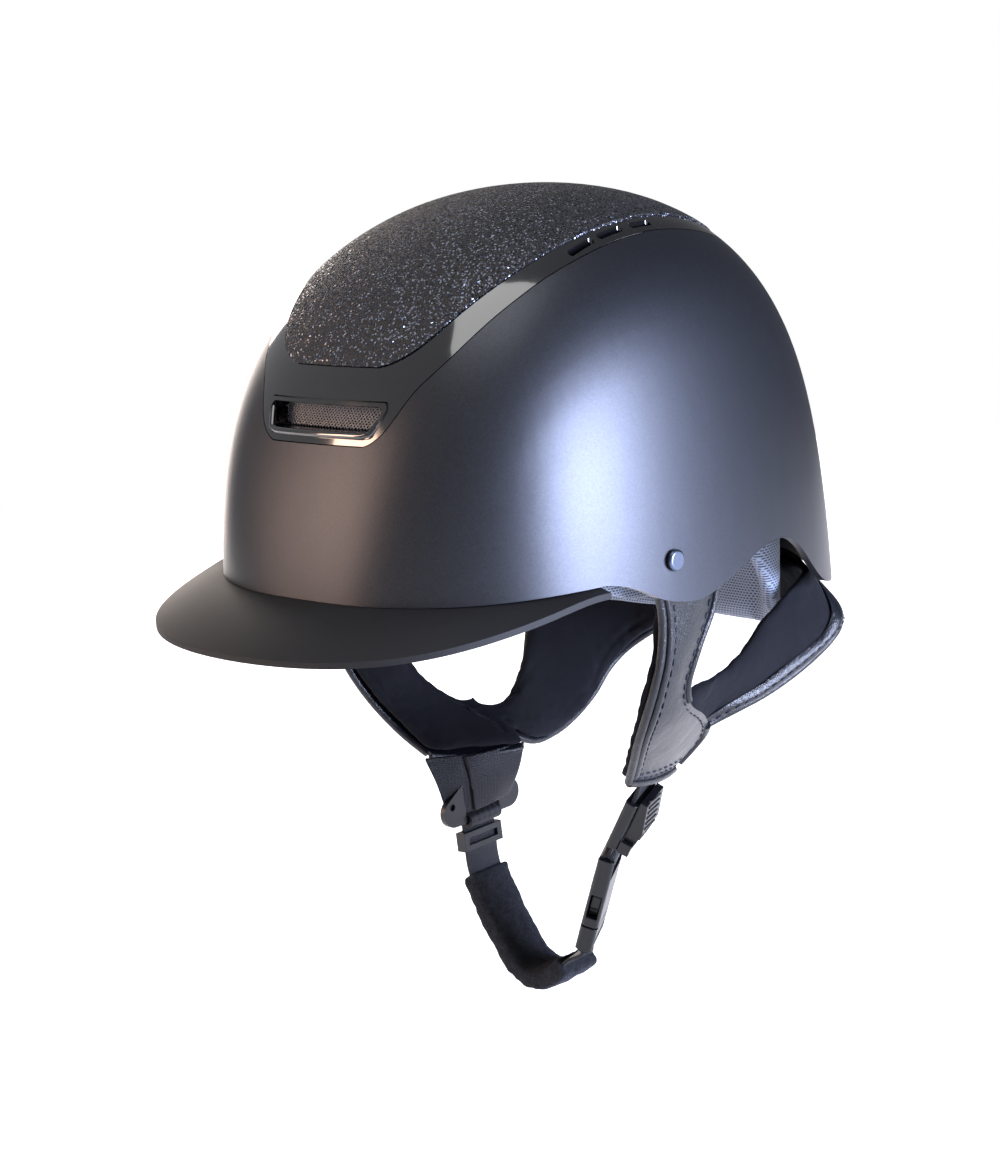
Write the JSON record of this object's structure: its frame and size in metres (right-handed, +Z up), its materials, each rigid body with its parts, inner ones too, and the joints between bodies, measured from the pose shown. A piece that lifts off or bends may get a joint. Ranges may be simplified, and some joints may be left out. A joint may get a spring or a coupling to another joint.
{
  "type": "riding helmet",
  "caption": "Peaked riding helmet with a padded leather harness, chin strap with side-release buckle and a pivoting nape cradle; protects a rider's head.",
  "frame": {"origin": "centre of the head opening, in the plane of the front rim", "axes": "+Z up to the crown, -Y to the front where the visor is, +X to the wearer's left"},
  "size_m": [0.2202, 0.3148, 0.3712],
  "materials": {
    "shell_satin": "satin metallic graphite lacquer",
    "panel_gloss": "polished black moulding",
    "glitter": "fine glitter fabric, black",
    "grille": "blackened woven mesh",
    "visor_rubberised": "soft-touch matte black",
    "eps_foam": "black moulded bead foam",
    "mesh_knit": "slate blue-grey knitted mesh",
    "leather": "smooth navy-black leather",
    "velvet": "black velvet",
    "rivet_metal": "dark satin",
    "moulded_plastic": "semi-gloss black moulding",
    "webbing": "black woven webbing",
    "fleece": "black fleece"
  },
  "bodies": {
    "helmet": {"outer_shell": "shell_satin", "top_panel": "panel_gloss", "glitter_inlay": "glitter", "vent_bezel": "panel_gloss", "vent_grille": "grille", "visor": "visor_rubberised", "eps_liner": "eps_foam", "brow_pad": "mesh_knit", "crown_pad": "mesh_knit", "harness_arm_left": "leather", "lining_arm_left": "velvet", "harness_band_left": "leather", "lining_band_left": "velvet", "harness_arm_right": "leather", "lining_arm_right": "velvet", "harness_band_right": "leather", "lining_band_right": "velvet", "rivet_left": "rivet_metal", "rivet_washer_left": "rivet_metal", "rivet_right": "rivet_metal", "rivet_washer_right": "rivet_metal", "cradle_pins": "moulded_plastic", "v_plate": "moulded_plastic", "v_webbing_front": "webbing", "v_webbing_back": "webbing", "buckle_webbing": "webbing", "cam_adjuster": "moulded_plastic", "buckle_female": "moulded_plastic"},
    "occipital_cradle": {"occipital_cradle": "moulded_plastic", "occipital_pad": "mesh_knit"},
    "chin_strap": {"chin_webbing": "webbing", "chin_pad": "fleece", "buckle_male": "moulded_plastic"},
    "strap_slider": {"strap_slider": "moulded_plastic"},
    "prong_front": {"buckle_prong_front": "moulded_plastic"},
    "prong_rear": {"buckle_prong_rear": "moulded_plastic"},
    "cam_lever": {"cam_lever": "moulded_plastic"}
  },
  "joints": [
    {"name": "cradle_tilt", "type": "hinge", "parent": "helmet", "child": "occipital_cradle", "pos_m": [0, 0.042, 0.015], "axis": [1, 0, 0], "range_deg": [-5, 5]},
    {"name": "chin_strap_swing", "type": "hinge", "parent": "helmet", "child": "chin_strap", "pos_m": [-0.054, 0.008, -0.142], "axis": [0, 1, 0], "range_deg": [0, 60]},
    {"name": "slider_slide", "type": "slide", "parent": "chin_strap", "child": "strap_slider", "axis": [0.0599, 0, -0.9982], "range_m": [-0.0015, 0.005]},
    {"name": "prong_front_squeeze", "type": "hinge", "parent": "chin_strap", "child": "prong_front", "pos_m": [0.01721, 0.00164, -0.1807], "axis": [-0.8182, -0.4695, 0.3319], "range_deg": [0, 6], "stiffness_Nm_per_rad": 0.02},
    {"name": "prong_rear_squeeze", "type": "hinge", "parent": "chin_strap", "child": "prong_rear", "pos_m": [0.01095, 0.01436, -0.17816], "axis": [0.8182, 0.4695, -0.3319], "range_deg": [0, 6], "stiffness_Nm_per_rad": 0.02},
    {"name": "cam_lever_open", "type": "hinge", "parent": "helmet", "child": "cam_lever", "pos_m": [0.04045, 0.01002, -0.13742], "axis": [-0.2908, 0.9397, 0.18], "range_deg": [0, 55]}
  ]
}
